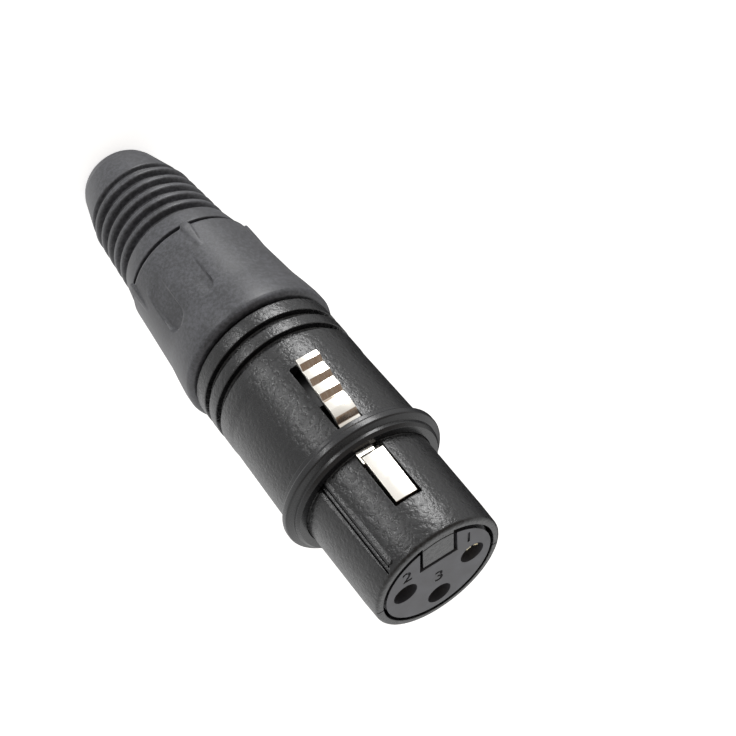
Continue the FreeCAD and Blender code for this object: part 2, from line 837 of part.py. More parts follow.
def make_sleeve():
    body = new_body("boot_sleeve")
    edge = f"{seam} - seam_gap"
    first_groove = part_of_boot("first_groove_share")
    pitch = part_of_boot("rib_pitch_share")
    mouth = part_of_boot("rib_groove_width_share")
    floor_width = part_of_boot("rib_groove_floor_share")
    last_groove = f"{first_groove} + (rib_count - 1) * {pitch}"
    front = f"{bushing_rear} - sleeve_seat"
    revolve(body, "sleeve", [
        ("cable_radius", "0"),
        ("end_radius", "0"),
        ("(end_radius + end_shoulder_radius) / 2 + 0.06", "end_shoulder_height * 0.45"),
        ("end_shoulder_radius", "end_shoulder_height"),
        ("band_radius", f"{first_groove} - {mouth} / 2"),
        ("rib_start_radius", f"{first_groove} + {mouth} / 2"),
        ("rib_top_radius", last_groove),
        ("collar_edge_radius", edge),
        ("sleeve_root_radius", edge),
        ("sleeve_root_radius", front),
        ("sleeve_mouth_radius", front),
        ("cable_radius", part_of_boot("sleeve_flare_share")),
    ])
    step = "(rib_top_radius - rib_start_radius) / (rib_count - 1)"
    ribs = new_sketch(body, "groove_sections", "XZ_Plane")
    for rib in range(int(number("rib_count"))):
        middle = f"{first_groove} + {rib} * {pitch}"
        floor = f"rib_start_radius - rib_groove_cut + {step} * {rib}"
        outline(ribs, [
            (floor, f"{middle} - {floor_width} / 2"),
            (f"{floor} + 2 * rib_groove_cut", f"{middle} - {mouth} + {floor_width} / 2"),
            (f"{floor} + 2 * rib_groove_cut", f"{middle} + {mouth} - {floor_width} / 2"),
            (floor, f"{middle} + {floor_width} / 2"),
        ])
    grooves = feature(body, "Groove", "grooves", ribs)
    grooves.ReferenceAxis = (ribs, ["V_Axis"])
    grooves.Angle = 360
    return body


parts = [make_shell(), make_ring(), make_insert()]
for node, (x, y) in contact_places.items():
    parts.append(make_contact(node, x, y))
parts += [
    make_leaf(),
    make_pin(),
    make_lever(),
    make_spring(),
    make_chuck(),
    make_bushing(),
    make_grip(),
    make_sleeve(),
]
doc.recompute()

for item in doc.Objects:
    if "Invalid" in item.State or "Error" in item.State:
        raise RuntimeError(f"{item.Label} failed: {item.State}")
os.makedirs("parts", exist_ok=True)
for part in parts:
    shape = part.Shape
    if shape.isNull() or not shape.isValid() or len(shape.Solids) != 1:
        raise RuntimeError(f"{part.Label} is not one valid solid")
    shape.exportStep(f"parts/{part.Label}.step")
    box = shape.BoundBox
    print(f"{part.Label}: {shape.Volume:.1f} mm3, z {box.ZMin:.2f} to {box.ZMax:.2f}")
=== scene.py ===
import math

import bmesh
import bpy
from mathutils import Matrix, Vector


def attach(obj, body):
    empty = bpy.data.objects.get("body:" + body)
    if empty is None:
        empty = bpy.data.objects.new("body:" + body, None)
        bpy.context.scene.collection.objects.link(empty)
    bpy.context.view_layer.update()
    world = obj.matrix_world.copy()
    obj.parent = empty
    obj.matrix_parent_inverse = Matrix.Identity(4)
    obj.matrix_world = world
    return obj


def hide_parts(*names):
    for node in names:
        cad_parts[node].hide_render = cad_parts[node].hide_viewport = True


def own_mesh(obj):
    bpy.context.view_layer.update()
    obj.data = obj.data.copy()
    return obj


bl_info = {
    "name": "Three-pole cable plug",
    "version": (1, 0, 0),
    "blender": (4, 5, 0),
    "location": "3D View > Sidebar > Plug",
    "description": "Dresses a cable plug: painted shell, rubber boot, nickel latch and face",
    "category": "Object",
}

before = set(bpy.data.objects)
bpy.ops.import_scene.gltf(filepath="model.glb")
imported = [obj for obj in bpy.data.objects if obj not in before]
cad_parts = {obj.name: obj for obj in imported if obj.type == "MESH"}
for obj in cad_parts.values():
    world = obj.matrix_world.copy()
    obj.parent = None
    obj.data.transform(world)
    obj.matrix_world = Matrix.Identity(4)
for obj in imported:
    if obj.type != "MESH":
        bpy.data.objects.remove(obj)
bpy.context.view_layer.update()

MM = 0.001

# Heights along the plug's axis in millimetres, from the cable end
SEAM = 20.0
BOOT_TOP = 36.2
SHELL_REAR = 36.6
SLOT_REAR = 45.7
SHOULDER = 55.5
SLOT_FRONT = 56.9
RING_FRONT = 58.3
WINDOW_FRONT = 65.9
FACE = 71.0

# Radii in millimetres
SHELL_RADIUS = 9.15
BODY_RADIUS = 9.1
SHELL_BORE = 7.75
NOSE_BORE = 6.95


# Colours

def linear(text):
    """Linear red, green and blue of an sRGB hex colour."""
    channels = [int(text[at:at + 2], 16) / 255 for at in (1, 3, 5)]
    return [c / 12.92 if c <= 0.04045 else ((c + 0.055) / 1.055) ** 2.4 for c in channels]


def colour(text, name, description):
    """A colour property with an sRGB hex default."""
    return bpy.props.FloatVectorProperty(
        name=name, description=description, subtype="COLOR", size=3, min=0, max=1,
        default=linear(text))


def length(millimetres, name, description):
    """A length property with its default in millimetres."""
    return bpy.props.FloatProperty(
        name=name, description=description, unit="LENGTH", subtype="DISTANCE",
        min=0, soft_max=0.1, precision=5, default=millimetres * MM)


class PlugSizes(bpy.types.PropertyGroup):
    """Sizes of the plug's visible details."""

    rim_rounding: length(0.5, "Rim rounding", "Rounding of the nose's front edge")
    edge_rounding: length(0.1, "Cut edges", "Rounding of the painted edges of slot and window")
    groove_depth: length(0.8, "Groove depth", "Depth of the two grooves at the shell's rear")
    bead_rounding: length(0.28, "Bead rounding", "Rounding of the ring's bead")
    rib_rounding: length(0.28, "Rib rounding", "Rounding of the sleeve's ribs")
    recess_depth: length(0.55, "Recess depth", "Greatest depth of the grip's finger recesses")
    recess_edge: length(0.2, "Recess edge", "Width of the slope at a recess's edge")
    numeral_height: length(1.25, "Numeral height", "Height of the contact numbers")
    numeral_depth: length(0.2, "Numeral depth", "Depth of the contact numbers")
    paint_grain: length(0.24, "Paint grain", "Size of the speckle in the shell's paint")
    rubber_grain: length(0.2, "Rubber grain", "Size of the fine grain in the boot's skin")


class PlugColours(bpy.types.PropertyGroup):
    """Colours of the plug's finishes."""

    paint: colour("#08080a", "Paint", "Semi-gloss black paint of the shell")
    paint_speckle: colour("#101012", "Paint speckle", "High grains of the paint")
    ring: colour("#101012", "Ring rubber", "Smooth black rubber of the ring")
    ring_patch: colour("#19191c", "Ring patches", "Paler patches of the ring's rubber")
    rubber: colour("#25262a", "Boot rubber", "Soft black rubber of the boot")
    rubber_dust: colour("#494a50", "Rubber bloom", "Dusty bloom on the boot's rubber")
    plastic: colour("#414248", "Insert plastic", "Dark filled plastic of the insert")
    plastic_filler: colour("#4e4e51", "Insert filler", "Paler mottle of the plastic's filler")
    nickel: colour("#f6f2ea", "Nickel", "Bright nickel plating of the lever")
    # Darker brownish nickel: painted shade on the lever's step walls, and random blotches
    nickel_shaded_blotched: colour("#bfa48d", "Shaded blotched nickel", "Plating that is stained in its hollows")
    bronze: colour("#e3d9bd", "Contact plating", "Plated bronze of the contacts")
    bronze_ring: colour("#cdbf96", "Contact rings", "Darker rings left by the lathe")
    steel: colour("#b9b8b4", "Spring steel", "Bare steel of pin and springs")
    steel_line: colour("#8f8e8a", "Steel lines", "Darker lines left by rolling")
    clamp: colour("#101012", "Clamp plastic", "Black plastic of the clamp")
    clamp_flow: colour("#161618", "Clamp mottle", "Flow mottle of the clamp's plastic")
    bushing: colour("#151517", "Bushing plastic", "Black plastic of the bushing")
    bushing_flow: colour("#1f1f21", "Bushing mottle", "Flow mottle of the bushing's plastic")
    floor: colour("#f4f4f4", "Floor", "Pale floor")


def sizes():
    return bpy.context.scene.plug_sizes


def colours():
    return bpy.context.scene.plug_colours


# Materials

# Most of a noise's values lie between these two
NOISE_LOW, NOISE_HIGH = 0.3, 0.7


def add(tree, kind, links=None, stops=None, **settings):
    """Adds a shader node with its settings, its socket values or links and its ramp stops."""
    node = tree.nodes.new(kind)
    for name, value in settings.items():
        setattr(node, name, value)
    for socket, value in (links or {}).items():
        if isinstance(value, bpy.types.NodeSocket):
            tree.links.new(value, node.inputs[socket])
        else:
            node.inputs[socket].default_value = value
    if stops:
        ramp = node.color_ramp
        while len(ramp.elements) < len(stops):
            ramp.elements.new(0.5)
        for element, (place, shade) in zip(ramp.elements, stops):
            element.position = place
            element.color = (*shade, 1)
    return node


def new_material(name):
    """An empty node material with its tree and its object coordinates in metres."""
    material = bpy.data.materials.new(name)
    material.use_nodes = True
    tree = material.node_tree
    tree.nodes.clear()
    place = add(tree, "ShaderNodeTexCoord").outputs["Object"]
    return material, tree, place


def close(tree, shader):
    """Joins a shader to the material's output."""
    add(tree, "ShaderNodeOutputMaterial", {"Surface": shader.outputs[0]})


def surface(tree, links):
    """The finish itself: one shader with its socket values and links."""
    close(tree, add(tree, "ShaderNodeBsdfPrincipled", links))


def grain(tree, place, size, detail=2.0, rough=0.5):
    """Noise whose grains are about as wide as a size in metres."""
    return add(tree, "ShaderNodeTexNoise", {
        "Vector": place, "Scale": 0.5 / size, "Detail": detail, "Roughness": rough}).outputs["Fac"]


def stretched(tree, place, scale):
    """Coordinates scaled axis by axis, so that a pattern runs long where the scale is small."""
    return add(tree, "ShaderNodeMapping", {"Vector": place, "Scale": scale}).outputs[0]


def spread(tree, value, low, high, out_low, out_high):
    """A value's range from low to high, drawn out to another range and held at its ends."""
    return add(tree, "ShaderNodeMapRange", {
        "Value": value, "From Min": low, "From Max": high,
        "To Min": out_low, "To Max": out_high}).outputs["Result"]


def vary(tree, noise, out_low=0, out_high=1):
    """A noise's usual range, drawn out to another range."""
    return spread(tree, noise, NOISE_LOW, NOISE_HIGH, out_low, out_high)


def calculate(tree, operation, first, second, **settings):
    return add(tree, "ShaderNodeMath", {0: first, 1: second}, operation=operation,
               **settings).outputs[0]


def blend_colours(tree, factor, first, second):
    node = add(tree, "ShaderNodeMix", {"Factor": factor, 6: (*first, 1), 7: (*second, 1)},
               data_type="RGBA")
    return node.outputs[2]


def bump(tree, height, strength, distance, links=None):
    """A normal that follows a height, whose full range stands for a distance in metres."""
    return add(tree, "ShaderNodeBump", {
        "Height": height, "Strength": strength, "Distance": distance, **(links or {})}).outputs[0]


def rounded_edge(tree, radius):
    """A normal that turns over sharp edges as if they were rounded."""
    return add(tree, "ShaderNodeBevel", {"Radius": radius}, samples=4).outputs[0]


def painted_die_cast_zinc():
    """Black semi-gloss paint on die-cast zinc: a hard, slightly speckled skin that follows the
    cast surface, so its highlights break into small grains and its cut edges catch the light."""
    material, tree, place = new_material("painted_die_cast_zinc")
    speckle = grain(tree, place, sizes().paint_grain, 3.0, 0.6)
    peel = grain(tree, place, 1.6 * MM, 1.0)
    edge = rounded_edge(tree, sizes().edge_rounding)
    wavy = bump(tree, peel, 1.0, 0.022 * MM, {"Normal": edge})
    high_grains = spread(tree, speckle, 0.35, 0.7, 0, 1)
    surface(tree, {
        "Base Color": blend_colours(tree, high_grains, colours().paint, colours().paint_speckle),
        "Roughness": vary(tree, speckle, 0.22, 0.36),
        "IOR": 1.58,
        "Normal": bump(tree, speckle, 1.0, 0.09 * MM, {"Normal": wavy})})
    return material


def moulded_ring_rubber():
    """Moulded nitrile rubber: smooth and dark with a dull shine along the bead."""
    material, tree, place = new_material("moulded_nitrile_rubber")
    fine = grain(tree, place, 0.12 * MM)
    patches = grain(tree, place, 2 * MM)
    surface(tree, {
        "Base Color": blend_colours(tree, patches, colours().ring, colours().ring_patch),
        "Roughness": vary(tree, fine, 0.24, 0.34),
        "IOR": 1.52,
        "Normal": bump(tree, fine, 0.4, 0.01 * MM)})
    return material


def moulded_soft_rubber():
    """Moulded soft rubber: a matt skin with fine grain and a thin grey bloom, lighter where it
    has been handled, with a broad soft sheen."""
    material, tree, place = new_material("moulded_soft_rubber")
    # The skin's real grain is about 0.05 mm, too fine to show, so it is drawn at rubber_grain
    fine = grain(tree, place, sizes().rubber_grain, 3.0, 0.7)
    bloom = spread(tree, grain(tree, place, 3.0 * MM, 3.0, 0.6), 0.35, 0.75, 0, 0.55)
    specks = spread(tree, fine, 0.36, 0.66, -0.35, 0.65)
    dust = calculate(tree, "ADD", bloom, specks, use_clamp=True)
    surface(tree, {
        "Base Color": blend_colours(tree, dust, colours().rubber, colours().rubber_dust),
        "Roughness": vary(tree, fine, 0.4, 0.52),
        "IOR": 1.58,
        "Normal": bump(tree, fine, 0.6, 0.035 * MM),
        "Sheen Weight": 0.12,
        "Sheen Roughness": 0.5})
    return material


def moulded_filled_plastic():
    """Moulded glass-filled polyamide: dark grey, satin, with a faint mottle of its filler."""
    material, tree, place = new_material("moulded_filled_polyamide")
    fine = grain(tree, place, 0.1 * MM, 3.0, 0.6)
    mottle = grain(tree, place, 0.7 * MM, 3.0, 0.6)
    edge = rounded_edge(tree, 0.06 * MM)
    filler = vary(tree, mottle)
    surface(tree, {
        "Base Color": blend_colours(tree, filler, colours().plastic, colours().plastic_filler),
        "Roughness": vary(tree, mottle, 0.42, 0.56),
        "IOR": 1.53,
        "Normal": bump(tree, fine, 0.5, 0.01 * MM, {"Normal": edge})})
    return material


def nickel_plated_steel():
    """Nickel plating on stamped steel: bright and slightly warm, faint drawing lines along the
    strip, random darker blotches, and painted brownish shade on the steps' front walls."""
    material, tree, place = new_material("nickel_plated_stamped_steel")
    lines = grain(tree, stretched(tree, place, (12, 1, 1)), 0.5 * MM, 2.0)
    blotches = grain(tree, place, 0.9 * MM, 3.0, 0.6)
    facing = add(tree, "ShaderNodeTexCoord").outputs["Normal"]
    forward = add(tree, "ShaderNodeSeparateXYZ", {0: facing}).outputs["Z"]
    # Painted shade: faces turned towards the nose, the steps' front walls, take the darker colour
    front_walls = spread(tree, forward, 0.42, 0.62, 0, 1)
    streaks = spread(tree, lines, 0.35, 0.65, 0.55, 1)
    shaded_step_walls = calculate(tree, "MULTIPLY", front_walls, streaks)
    # The darker colour's mask: painted shade on the front walls, joined with random blotches
    shade_and_blotch_mask = calculate(tree, "MAXIMUM", shaded_step_walls, spread(tree, blotches, 0.55, 0.85, 0, 0.4))
    surface(tree, {
        "Base Color": blend_colours(tree, shade_and_blotch_mask, colours().nickel, colours().nickel_shaded_blotched),
        "Metallic": 1.0,
        "Roughness": vary(tree, blotches, 0.16, 0.3),
        "Normal": bump(tree, lines, 0.4, 0.01 * MM)})
    return material


def plated_bronze():
    """Plated phosphor bronze, turned: pale warm metal with fine rings from the lathe."""
    material, tree, place = new_material("plated_turned_bronze")
    rings = grain(tree, stretched(tree, place, (1, 1, 10)), 0.6 * MM)
    surface(tree, {
        "Base Color": blend_colours(
            tree, vary(tree, rings), colours().bronze, colours().bronze_ring),
        "Metallic": 1.0,
        "Roughness": vary(tree, rings, 0.2, 0.34),
        "Normal": bump(tree, rings, 0.3, 0.006 * MM)})
    return material


def rolled_spring_steel():
    """Rolled spring steel: grey metal with faint rolling lines."""
    material, tree, place = new_material("rolled_spring_steel")
    lines = grain(tree, stretched(tree, place, (10, 10, 1)), 0.8 * MM)
    surface(tree, {
        "Base Color": blend_colours(tree, lines, colours().steel, colours().steel_line),
        "Metallic": 1.0,
        "Roughness": vary(tree, lines, 0.26, 0.4),
        "Normal": bump(tree, lines, 0.3, 0.005 * MM)})
    return material


def moulded_plastic(name, tone, flow):
    """Moulded polyamide or acetal: plain satin plastic with a faint flow mottle."""
    material, tree, place = new_material(name)
    mottle = grain(tree, place, 1.2 * MM, 3.0)
    fine = grain(tree, place, 0.14 * MM)
    surface(tree, {
        "Base Color": blend_colours(tree, vary(tree, mottle), tone, flow),
        "Roughness": vary(tree, fine, 0.4, 0.52),
        "IOR": 1.5,
        "Normal": bump(tree, fine, 0.4, 0.01 * MM)})
    return material


# Meshes, with every size in millimetres until the object is made

def around(angle, radius, height):
    """A point by its angle from the latch towards +X, its radius and its height."""
    turn = math.radians(angle)
    return Vector((radius * math.sin(turn), -radius * math.cos(turn), height))


def axes_at(angle):
    """The directions out of the plug and along its surface at an angle."""
    out = around(angle, 1, 0)
    return out, Vector((-out.y, out.x, 0))


def rounded(corners, steps=4):
    """Corners (across, up, rounding) as points, each rounding drawn as a short arc."""
    points = []
    for index, (x, y, size) in enumerate(corners):
        here = Vector((x, y))
        before = Vector(corners[index - 1][:2]) - here
        after = Vector(corners[(index + 1) % len(corners)][:2]) - here
        turn = before.angle(after)
        if size <= 0 or turn > math.radians(179):
            points.append(here)
            continue
        reach = min(size / math.tan(turn / 2), 0.49 * before.length, 0.49 * after.length)
        start, end = here + before.normalized() * reach, here + after.normalized() * reach
        middle = here + (before.normalized() + after.normalized()).normalized() * (
            reach / math.cos(turn / 2))
        first, last = start - middle, end - middle
        arc = first.angle(last)
        for step in range(steps + 1):
            share = step / steps
            points.append(middle + (
                first * math.sin((1 - share) * arc) + last * math.sin(share * arc)) / math.sin(arc))
    return points


def make_object(name, points, faces, material=None, crease=32):
    """A mesh object from points in millimetres, smooth apart from edges beyond the crease."""
    mesh = bpy.data.meshes.new(name)
    mesh.from_pydata([Vector(point) * MM for point in points], [], faces)
    piece = bpy.data.objects.new(name, mesh)
    bpy.context.scene.collection.objects.link(piece)
    set_creases(piece, crease)
    if material:
        mesh.materials.append(material)
    return piece


def copy_of(node, name, material):
    """A new piece with the mesh of a node of the frame."""
    piece = bpy.data.objects.new(name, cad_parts[node].data.copy())
    bpy.context.scene.collection.objects.link(piece)
    piece.data.materials.clear()
    piece.data.materials.append(material)
    set_creases(piece)
    return piece


def set_creases(piece, crease=32):
    """Turns the faces outwards and marks the edges that are sharper than the crease."""
    shape = bmesh.new()
    shape.from_mesh(piece.data)
    bmesh.ops.remove_doubles(shape, verts=shape.verts, dist=1e-7)
    bmesh.ops.recalc_face_normals(shape, faces=shape.faces)
    for face in shape.faces:
        face.smooth = True
    limit = math.radians(crease)
    for edge in shape.edges:
        edge.smooth = len(edge.link_faces) == 2 and edge.calc_face_angle(0) < limit
    shape.to_mesh(piece.data)
    shape.free()


def joined_rings(name, rings, material=None, crease=32):
    """A closed skin over rings of points that stand side by side round the axis."""
    points = [point for ring in rings for point in ring]
    count = len(rings[0])
    faces = []
    for side in range(len(rings)):
        a, b = side * count, (side + 1) % len(rings) * count
        for step in range(count):
            after = (step + 1) % count
            faces.append((a + step, a + after, b + after, b + step))
    return make_object(name, points, faces, material, crease)


def turned(name, section, sides, material=None, crease=32):
    """A closed section turned round the plug's axis."""
    rings = [[around(360 * side / sides, r, z) for r, z in section] for side in range(sides)]
    return joined_rings(name, rings, material, crease)


def prism(name, outline, place):
    """A closed outline drawn out between two levels; place(x, y, level) gives each point."""
    count = len(outline)
    points = [place(x, y, level) for level in (0, 1) for x, y in outline]
    faces = [tuple(range(count)), tuple(range(count, 2 * count))]
    faces += [(i, (i + 1) % count, count + (i + 1) % count, count + i) for i in range(count)]
    return make_object(name, points, faces)


def combine(piece, tool, operation="DIFFERENCE"):
    """Cuts a tool out of a piece, or joins it on, and removes the tool."""
    modifier = piece.modifiers.new(operation.lower(), "BOOLEAN")
    modifier.operation = operation
    modifier.solver = "EXACT"
    modifier.object = tool
    bpy.context.view_layer.update()
    evaluated = piece.evaluated_get(bpy.context.evaluated_depsgraph_get())
    mesh = bpy.data.meshes.new_from_object(evaluated)
    piece.modifiers.clear()
    old = piece.data
    piece.data = mesh
    bpy.data.meshes.remove(old)
    bpy.data.objects.remove(tool)
    if not piece.data.polygons:
        raise RuntimeError(f"{piece.name} was lost in a cut")
    return piece


def finish_piece(piece, body, slot, *nodes):
    """Lets a piece ride on its body and stand for its nodes, which are hidden; the slot is not
    used.
    """
    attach(piece, body)
    if nodes:
        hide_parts(*nodes)
    return piece


def carry(node, material):
    """Gives a node of the frame its finish."""
    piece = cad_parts[node]
    if piece.material_slots:
        for slot in piece.material_slots:
            slot.link = "OBJECT"
            slot.material = material
    else:
        piece.data.materials.append(material)


# Shell

KEYWAY_ANGLE = 46
NICK_ANGLES = (94, -98)


def shell_section():
    """The shell's section, from its rear round the grooves and the nose to the bore."""
    groove_floor = SHELL_RADIUS - sizes().groove_depth / MM
    return rounded([
        (SHELL_BORE, SHELL_REAR, 0.1),
        (SHELL_RADIUS, SHELL_REAR, 0.22),
        (SHELL_RADIUS, 38.58, 0.1),
        (groove_floor, 38.58, 0.15),
        (groove_floor, 39.52, 0.15),
        (SHELL_RADIUS, 39.52, 0.1),
        (SHELL_RADIUS, 41.03, 0.1),
        (groove_floor, 41.03, 0.15),
        (groove_floor, 41.97, 0.15),
        (BODY_RADIUS, 41.97, 0.1),
        (BODY_RADIUS, 43.9, 0.8),
        (9.04, 44.7, 0.8),
        (9.2, SHOULDER, 0.12),
        (8.04, SHOULDER, 0),
        (8.04, RING_FRONT, 0.2),
        (8.0, 58.38, 0.2),
        (7.9, 68.3, 3),
        (7.8, FACE, sizes().rim_rounding / MM),
        (NOSE_BORE, FACE, 0.05),
        (NOSE_BORE, 53.0, 0),
        (SHELL_BORE, 53.0, 0),
    ])


def cut_opening(shell):
    """The lever's slot and, in front of the ring, the slightly wider window."""
    outline = rounded([
        (-1.45, SLOT_REAR, 0.3),
        (1.62, SLOT_REAR, 0.3),
        (1.62, SLOT_FRONT, 0),
        (1.65, SLOT_FRONT, 0),
        (1.65, WINDOW_FRONT, 0.2),
        (-1.65, WINDOW_FRONT, 0.2),
        (-1.65, SLOT_FRONT, 0),
        (-1.45, SLOT_FRONT, 0),
    ])
    combine(shell, prism("opening", outline, lambda x, y, level: (x, -5.4 - 10 * level, y)))


def cut_keyway(shell):
    """A ridge with a round end, and beside it a channel with a fine rib and a sloped wall."""
    out, side = axes_at(KEYWAY_ANGLE)

    def bar(name, profile, rear, front, plan):
        """A profile drawn out along the plug, with its ends trimmed to a plan seen from outside."""
        piece = prism(name, profile, lambda x, y, level: (
            side * x + out * y + Vector((0, 0, rear + (front - rear) * level))))
        ends = prism("ends", rounded(plan, 6), lambda x, y, level: (
            side * x + out * (7 + 2 * level) + Vector((0, 0, y))))
        return combine(piece, ends, "INTERSECT")

    ridge = bar(
        "ridge",
        rounded([(-0.98, 7.7, 0), (-0.34, 7.7, 0), (-0.38, 8.07, 0.06), (-0.6, 8.07, 0.12),
                 (-0.98, 7.91, 0)]),
        58.0, 70.2,
        [(-1.0, 57.5, 0), (-0.2, 57.5, 0), (-0.2, 70.1, 0.35), (-1.0, 70.1, 0.35)])
    channel = bar(
        "channel",
        [(-0.4, 8.6), (-0.4, 7.52), (-0.2, 7.52), (-0.12, 7.76), (0.12, 7.86), (0.17, 7.84),
         (0.22, 7.54), (0.32, 7.52), (0.4, 7.78), (0.78, 7.94), (0.78, 8.6)],
        57.05, 70.7,
        [(-0.5, 57, 0), (0.85, 57, 0), (0.85, 70.65, 0.2), (0.3, 70.6, 0.1), (-0.5, 70.0, 0.4)])
    combine(shell, ridge, "UNION")
    combine(shell, channel)


def add_key(shell):
    """The key that fills the insert's notch a little below the rim, with a line along its root."""
    outline = rounded([(-1.9, -7.2, 0), (1.9, -7.2, 0), (1.9, -2.82, 0.12), (-1.9, -2.82, 0.12)])
    key = prism("key", outline, lambda x, y, level: (x, y, 69.08 + 1.8 * level))
    combine(shell, key, "UNION")
    line = rounded([(6.22, 70.78, 0), (6.38, 70.78, 0), (6.38, 71.3, 0), (6.22, 71.3, 0)])
    combine(shell, turned("line", line, 160))


def nick_rim(shell):
    """The mould's parting line, two fine nicks across the rim."""
    outline = rounded([(-0.07, 70.84, 0), (0.07, 70.84, 0), (0.07, 71.3, 0), (-0.07, 71.3, 0)])
    for angle in NICK_ANGLES:
        out, side = axes_at(angle)
        combine(shell, prism("nick", outline, lambda x, y, level: (
            side * x + out * (6.8 + 1.4 * level) + Vector((0, 0, y)))))


class PLUG_OT_shell(bpy.types.Operator):
    """Make the painted shell with its grooves, slot, window, keyway and key"""

    bl_idname = "plug.shell"
    bl_label = "Shell"

    def execute(self, context):
        shell = turned("shell_casting", shell_section(), 240, painted_die_cast_zinc())
        add_key(shell)
        cut_opening(shell)
        cut_keyway(shell)
        nick_rim(shell)
        set_creases(shell, 34)
        finish_piece(shell, "housing", "shell_paint", "shell")
        return {"FINISHED"}


# Ring

def ring_section():
    """The ring's section, with its heel, its bead and its step."""
    bead = sizes().bead_rounding / MM
    return rounded([
        (8.09, SHOULDER, 0.05),
        (9.45, SHOULDER, 0.12),
        (9.45, 56.1, 0.15),
        (10.05, 56.45, bead),
        (10.05, 57.25, bead),
        (9.25, 57.55, 0.12),
        (9.25, 57.95, 0.1),
        (8.95, RING_FRONT, 0.08),
        (8.09, RING_FRONT, 0.05),
    ], 5)


class PLUG_OT_seal_ring(bpy.types.Operator):
    """Make the rubber ring at the root of the nose"""

    bl_idname = "plug.seal_ring"
    bl_label = "Ring"

    def execute(self, context):
        ring = turned("nose_ring", ring_section(), 256, moulded_ring_rubber(), 40)
        finish_piece(ring, "housing", "ring_rubber", "seal_ring")
        return {"FINISHED"}


# Insert and contacts

# Each contact's number with its middle on the face, in millimetres
NUMERALS = (("1", -3.75, -3.4), ("2", 3.9, -3.0), ("3", 0.0, 0.6))
CONTACT_CIRCLE = 4.2


def open_edge(insert):
    """Cuts the insert's front edge back, a little wider at the sides, so the gap reads dark."""
    edge = turned("edge", rounded([
        (6.36, 71.4, 0),
        (6.36, 70.93, 0),
        (5.85, 70.8, 0),
        (5.85, 70.1, 0),
        (7.4, 70.1, 0),
        (7.4, 71.4, 0),
    ]), 160)
    widen = Matrix.Diagonal((1.035, 1, 1, 1))
    edge.data.transform(Matrix.Translation((0, 0.12 * MM, 0)) @ widen)
    combine(insert, edge)


def numeral(text, x, y):
    """A solid numeral that reaches from below the face to just above it."""
    words = bpy.data.curves.new("numeral", "FONT")
    words.body = text
    words.size = sizes().numeral_height * 2
    words.offset = 0.035 * MM
    words.align_x = "CENTER"
    words.align_y = "CENTER"
    words.extrude = sizes().numeral_depth
    words.resolution_u = 6
    letter = bpy.data.objects.new("numeral", words)
    bpy.context.scene.collection.objects.link(letter)
    bpy.context.view_layer.update()
    mesh = bpy.data.meshes.new_from_object(letter)
    bpy.data.objects.remove(letter)
    solid = bpy.data.objects.new("numeral", mesh)
    bpy.context.scene.collection.objects.link(solid)
    middle = Vector((x, y, FACE - 0.08)) * MM
    mesh.transform(Matrix.Translation(middle) @ Matrix.Rotation(math.pi, 4, "Z"))
    set_creases(solid)
    return solid


def contact_tongue(metal):
    """The sprung tongue that shows in the first hole: an upright arc with an uneven top."""
    steps = 20
    start, swept = -140, 84
    inner, outer, base = 1.02, 1.16, 68.2
    points = []
    for step in range(steps + 1):
        turn = math.radians(start + swept * step / steps)
        top = 70.84 - (0.34 if 9 <= step <= 11 else 0.05 * (step % 3 == 0))
        for radius, level in ((inner, base), (outer, base), (outer, top), (inner, top)):
            points.append((
                -CONTACT_CIRCLE + radius * math.cos(turn), radius * math.sin(turn), level))
    faces = [tuple(range(4)), tuple(range(4 * steps, 4 * steps + 4))]
    for at in range(0, 4 * steps, 4):
        faces += [(at + i, at + (i + 1) % 4, at + 4 + (i + 1) % 4, at + 4 + i) for i in range(4)]
    return make_object("contact_1_tongue", points, faces, metal)


class PLUG_OT_insert(bpy.types.Operator):
    """Make the insert and cut the contact numbers into its face"""

    bl_idname = "plug.insert"
    bl_label = "Insert"

    def execute(self, context):
        insert = copy_of("insert", "contact_carrier", moulded_filled_plastic())
        open_edge(insert)
        for text, x, y in NUMERALS:
            combine(insert, numeral(text, x, y))
        set_creases(insert)
        finish_piece(insert, "housing", "insert_plastic", "insert")
        return {"FINISHED"}


class PLUG_OT_contacts(bpy.types.Operator):
    """Give the three contacts their plated finish, and the first one its sprung tongue"""

    bl_idname = "plug.contacts"
    bl_label = "Contacts"

    def execute(self, context):
        metal = plated_bronze()
        for number in (1, 2, 3):
            carry(f"contact_{number}", metal)
        finish_piece(contact_tongue(metal), "housing", "contact_metal")
        return {"FINISHED"}


# Latch

LEVER_HALF_WIDTH = 1.3
STEP_COUNT = 3
STEP_PITCH = 1.85
STEP_RISE = 0.58


def lever_side():
    """The stamped strip seen from the side, as (distance out, height) with each bend rounded."""
    top = [
        (5.6, 68.5, 0.3),
        (6.4, 65.6, 0.1),
        (7.82, 65.5, 0.08),
        (8.4, 59.35, 0.06),
        (7.55, 59.15, 0.1),
        (7.55, 55.42, 0.1),
        (9.0, 55.4, 0.12),
        (9.12, 54.95, 0.2),
        (9.8, 54.55, 0.3),
        (10.13, 53.5, 0.8),
    ]
    for step in range(STEP_COUNT):
        height = 10.15 + STEP_RISE * step
        at = 52.1 - STEP_PITCH * step
        top += [
            (height - 0.12 * min(step, 1), at + 0.3, 0.1),
            (height - 0.12, at, 0.05),
            (height + 0.55, at - 0.55, 0.08),
        ]
    top += [(11.86, 47.1, 0.15), (11.66, 46.9, 0.1)]
    under = [
        (11.09, 46.9, 0.1),
        (9.35, 52.4, 0.4),
        (9.3, 53.8, 0.3),
        (8.3, 54.3, 0.3),
        (8.2, 54.8, 0.2),
        (7.0, 54.9, 0.3),
        (6.75, 55.2, 0.2),
        (6.75, 59.7, 0.3),
        (6.4, 64.0, 0.4),
        (5.0, 66.1, 0.1),
        (4.16, 66.46, 0.5),
        (3.8, 67.3, 0.5),
        (4.16, 68.14, 0.5),
        (5.0, 68.5, 0.3),
    ]
    return rounded(top + under, 4)


